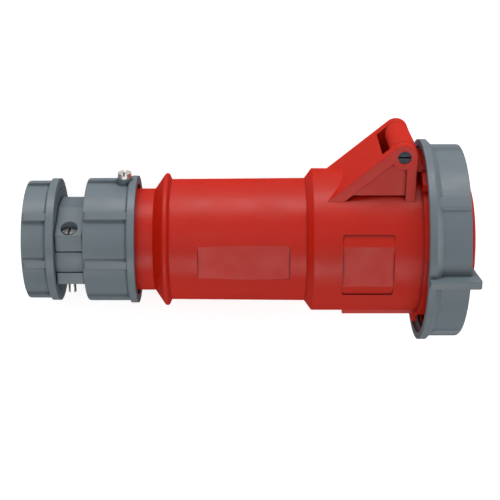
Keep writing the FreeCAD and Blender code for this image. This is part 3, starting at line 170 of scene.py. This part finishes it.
def moulded(name, colour, smooth, coarse, gloss, edge_light=1.25):
    """Moulded plastic: faint clouds, specks and grain, rounded, slightly rubbed edges, and
    painted shade in its crevices. A matt body lies under an even gloss, which doesn't whiten the
    edges."""
    material = bpy.data.materials.new(name)
    nodes = Nodes(material)
    clouds = nodes.patches(scale=26.0, detail=3.0)
    body = nodes.mixed(clouds, scaled(colour, 0.96), scaled(colour, 1.03))
    specks = nodes.patches(scale=1500.0, detail=1.0, high=0.10, span=(0.55, 0.75))
    body = nodes.mixed(specks, body, scaled(colour, 1.7))
    rub = nodes.patches(scale=160.0, detail=2.0, high=0.35, span=(0.3, 0.6))
    rubbed_edge = nodes.maths("MULTIPLY", nodes.edges(PLASTIC_EDGE), rub)
    body = nodes.mixed(rubbed_edge, body, scaled(colour, edge_light))
    # Painted shade: the colour darkens in crevices and corners, where other faces stand close.
    body = nodes.times(body, nodes.painted_crevice_shade(distance=0.003, low=0.18))

    roughness = nodes.patches(scale=70.0, detail=3.0, low=smooth, high=coarse)
    grain = nodes.bump(nodes.noise(scale=2600.0, detail=2.0), strength=0.16, distance=0.00025,
                       normal=nodes.rounded(PLASTIC_EDGE))
    flow = nodes.bump(nodes.noise(scale=55.0, detail=2.0, stretch=(0.35, 1.0, 1.0)),
                      strength=0.03, distance=0.0006, normal=grain)

    matt = nodes.add("ShaderNodeBsdfPrincipled", {
        "Base Color": body, "Roughness": 1.0, "Specular IOR Level": 0.0, "Normal": flow})
    shine = nodes.add("ShaderNodeBsdfGlossy", {"Roughness": roughness, "Normal": flow})
    satin = nodes.add("ShaderNodeMixShader", {
        0: gloss, 1: matt.outputs["BSDF"], 2: shine.outputs["BSDF"]})
    nodes.surface(satin.outputs["Shader"])
    return material


def metal(name, colour, smooth, coarse, rim_wear_and_highlight=1.15):
    """Bare or plated metal with fine turning marks, a little tarnish, rubbed edges with a painted
    highlight, and painted shade in its crevices.
    """
    material = bpy.data.materials.new(name)
    nodes = Nodes(material)
    tarnish = nodes.patches(scale=220.0, detail=3.0)
    body = nodes.mixed(tarnish, scaled(colour, 0.84), scaled(colour, 1.08))
    # The edges are painted lighter: partly rubbed wear, partly a painted highlight.
    body = nodes.mixed(nodes.edges(2 * METAL_EDGE), body, scaled(colour, rim_wear_and_highlight))
    # Painted shade: the colour darkens in crevices and corners, where other faces stand close.
    body = nodes.times(body, nodes.painted_crevice_shade(distance=0.0025, low=0.25))

    marks = nodes.noise(scale=2400.0, detail=2.0, stretch=(0.2, 1.0, 1.0))
    normal = nodes.bump(marks, strength=0.12, distance=0.0001, normal=nodes.rounded(METAL_EDGE))
    shader = nodes.add("ShaderNodeBsdfPrincipled", {
        "Base Color": body, "Metallic": 1.0, "Roughness": nodes.between(marks, smooth, coarse),
        "Normal": normal})
    nodes.surface(shader.outputs["BSDF"])
    return material


def rubber(name, colour):
    """Dull rubber with a little dust."""
    material = bpy.data.materials.new(name)
    nodes = Nodes(material)
    dust = nodes.patches(scale=90.0, detail=4.0)
    body = nodes.mixed(dust, scaled(colour, 0.8), scaled(colour, 1.5))
    roughness = nodes.patches(scale=400.0, detail=2.0, low=0.55, high=0.8)
    normal = nodes.bump(nodes.noise(scale=1500.0, detail=2.0), strength=0.2, distance=0.0002,
                        normal=nodes.rounded(RUBBER_EDGE))
    shader = nodes.add("ShaderNodeBsdfPrincipled", {
        "Base Color": body, "Roughness": roughness, "Specular IOR Level": 0.3,
        "Normal": normal})
    nodes.surface(shader.outputs["BSDF"])
    return material


MATERIALS = {
    "shell_grey": moulded("grey_shell", linear(108, 120, 127), smooth=0.36, coarse=0.48,
                          gloss=0.056),
    "shell_red": moulded("red_shell", linear(199, 28, 2), smooth=0.38, coarse=0.50,
                         gloss=0.038, edge_light=1.3),
    "insert_grey": moulded("grey_insert", linear(88, 92, 96), smooth=0.45, coarse=0.6,
                           gloss=0.05),
    "seal_rubber": rubber("black_rubber", linear(30, 30, 32)),
    "bright_steel": metal("nickel_plate", linear(214, 210, 206), smooth=0.28, coarse=0.42),
    # The blued steel's edges carry a strong painted highlight on top of their rubbed wear.
    "blued_steel": metal("blued_steel", linear(46, 51, 56), smooth=0.24, coarse=0.4, rim_wear_and_highlight=6.0),
    "contact_brass": metal("contact_brass", linear(205, 170, 105), smooth=0.18, coarse=0.32),
}

slots = {part["node"]: part["material_slot"] for part in frame["record"]["subparts"]}
for name, node in frame["nodes"].items():
    for slot in node.material_slots:
        slot.material = MATERIALS[slots[name]]

# Floor: it leans a little, because the coupler lies on its ring and its end nut. It glows only to
# the camera and in gloss and metal, and less near the coupler, to keep its shadow.

FLOOR_PITCH = math.radians(6.2)
FLOOR_HALF = 3.0
RING_FOOT = Vector((0.2513, 0.0, -0.06395))
FLOOR_WHITE = (0.80, 0.80, 0.80, 1.0)
GLOW_NEAR, GLOW_FAR = 0.62, 0.85
GLOW_SPAN = (0.3, 1.0)  # how far from the ring's foot the glow is near and far

floor_mesh = bpy.data.meshes.new("floor")
corners = [(x * FLOOR_HALF, y * FLOOR_HALF, 0.0) for x, y in ((-1, -1), (1, -1), (1, 1), (-1, 1))]
floor_mesh.from_pydata(corners, [], [(0, 1, 2, 3)])
floor = bpy.data.objects.new("floor", floor_mesh)
scene.collection.objects.link(floor)
floor.rotation_euler = (0.0, FLOOR_PITCH, 0.0)
floor.location = RING_FOOT

white_floor = bpy.data.materials.new("white_floor")
nodes = Nodes(white_floor)
away = nodes.add("ShaderNodeVectorMath", {0: nodes.place()}, operation="LENGTH")
glow_here = nodes.between(away.outputs["Value"], GLOW_NEAR, GLOW_FAR, GLOW_SPAN)
glow = nodes.add("ShaderNodeEmission", {
    "Color": WHITE, "Strength": nodes.maths("MULTIPLY", nodes.backdrop_share(), glow_here)})
paper = nodes.add("ShaderNodeBsdfDiffuse", {"Color": FLOOR_WHITE})
both = nodes.add("ShaderNodeAddShader", {0: paper.outputs["BSDF"], 1: glow.outputs["Emission"]})
nodes.surface(both.outputs["Shader"])
floor_mesh.materials.append(white_floor)

# Light: a pale room, whose walls show white, a long soft box on the hinge side, a softer one
# opposite, a weak one above and one at the lid's end

ROOM_LIGHT = 0.18
ROOM_WHITE = 1.0
MIDDLE = Vector((0.14, 0.0, 0.0))

scene.world = bpy.data.worlds.new("room")
nodes = Nodes(scene.world)
strength = nodes.add("ShaderNodeMix", {
    MIX_FACTOR: nodes.backdrop_share(), MIX_NUMBER_A: ROOM_LIGHT, MIX_NUMBER_B: ROOM_WHITE},
    data_type="FLOAT")
room = nodes.add("ShaderNodeBackground", {
    "Color": WHITE, "Strength": strength.outputs[MIXED_NUMBER]})
nodes.add("ShaderNodeOutputWorld", {"Surface": room.outputs["Background"]})


def soft_box(name, direction, distance, width, height, watts):
    """A rectangular lamp that stands in this direction from the coupler's middle and faces it."""
    data = bpy.data.lights.new(name, "AREA")
    data.shape = "RECTANGLE"
    data.size = width
    data.size_y = height
    data.energy = watts
    lamp = bpy.data.objects.new(name, data)
    scene.collection.objects.link(lamp)
    outward = Vector(direction).normalized()
    lamp.location = MIDDLE + outward * distance
    lamp.rotation_euler = outward.to_track_quat("Z", "Y").to_euler()


soft_box("key_light", (0.0, 0.92, 0.39), distance=1.1, width=1.7, height=0.42, watts=10.6)
soft_box("fill_light", (0.0, -0.77, 0.64), distance=1.2, width=1.6, height=0.52, watts=6.6)
soft_box("top_light", (-0.25, 0.1, 0.95), distance=1.6, width=1.0, height=0.8, watts=2.9)
soft_box("end_light", (1.0, 0.0, 0.12), distance=1.3, width=0.7, height=0.5, watts=5.0)
